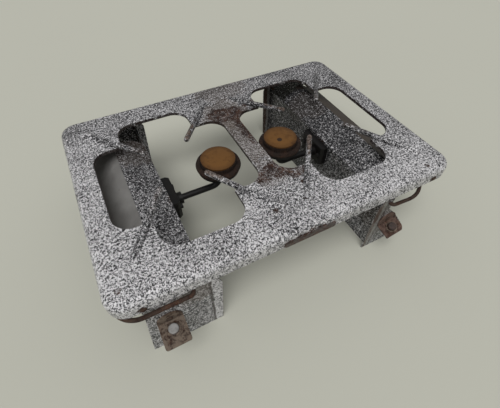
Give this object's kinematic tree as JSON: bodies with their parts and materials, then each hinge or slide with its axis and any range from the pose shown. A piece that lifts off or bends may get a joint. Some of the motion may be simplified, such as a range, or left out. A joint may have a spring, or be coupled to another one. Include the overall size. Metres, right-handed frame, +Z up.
{
  "type": "two-burner table stove",
  "caption": "Old rusty table stove: speckled enamel top with two clover openings and rod fingers, folded sheet legs, two burners on bent pipes and swinging wire handles.",
  "frame": {"origin": "middle of the footprint, on the surface that the stove stands on", "axes": "+X to the stove's right, along its length; +Y to its back; +Z up"},
  "size_m": [0.5, 0.406, 0.158],
  "materials": {
    "enamel": "black and white granite-speckle enamel, chipped and rusty at the bridge",
    "leg_enamel": "dark speckled enamel with brown stains",
    "finger_enamel": "speckled enamel worn to brown at the tips",
    "rust": "rusty steel",
    "bracket_rust": "rusty steel with a grey film",
    "ring_rust": "dark brown burnt iron",
    "handle_wire": "brown rusty wire",
    "dark_iron": "black painted iron, matte",
    "plain_steel": "dull grey bare steel",
    "cap_brass": "brown tarnished brass"
  },
  "bodies": {
    "stove": {"top_plate": "enamel", "badge_bar": "rust", "rim_screws": "rust", "rim_nuts": "rust", "left_front_outer_finger": "finger_enamel", "left_front_inner_finger": "finger_enamel", "left_front_end_plate": "leg_enamel", "left_front_bracket": "bracket_rust", "left_back_outer_finger": "finger_enamel", "left_back_inner_finger": "finger_enamel", "left_back_end_plate": "leg_enamel", "left_back_bracket": "bracket_rust", "left_leg_panel": "leg_enamel", "left_outer_panel": "plain_steel", "left_burner_flange": "dark_iron", "left_burner_pipe": "dark_iron", "left_burner_body": "dark_iron", "left_port_ring": "ring_rust", "left_burner_cap": "cap_brass", "right_front_outer_finger": "finger_enamel", "right_front_inner_finger": "finger_enamel", "right_front_end_plate": "leg_enamel", "right_front_bracket": "bracket_rust", "right_back_outer_finger": "finger_enamel", "right_back_inner_finger": "finger_enamel", "right_back_end_plate": "leg_enamel", "right_back_bracket": "bracket_rust", "right_leg_panel": "leg_enamel", "right_outer_panel": "plain_steel", "right_burner_flange": "dark_iron", "right_burner_pipe": "dark_iron", "right_burner_body": "dark_iron", "right_port_ring": "ring_rust", "right_burner_cap": "cap_brass", "bracket_bolts": "plain_steel", "bracket_washers": "bracket_rust", "bracket_nuts": "bracket_rust", "bracket_rivets": "bracket_rust", "flange_screws": "dark_iron"},
    "left_handle": {"left_handle": "handle_wire"},
    "right_handle": {"right_handle": "handle_wire"}
  },
  "joints": [
    {"name": "left_handle_swing", "type": "hinge", "parent": "stove", "child": "left_handle", "pos_m": [-0.158, 0, 0.115], "axis": [0, 1, 0], "range_deg": [-27, 2]},
    {"name": "right_handle_swing", "type": "hinge", "parent": "stove", "child": "right_handle", "pos_m": [0.141, 0, 0.1085], "axis": [0, 1, 0], "range_deg": [-12, 4]}
  ]
}
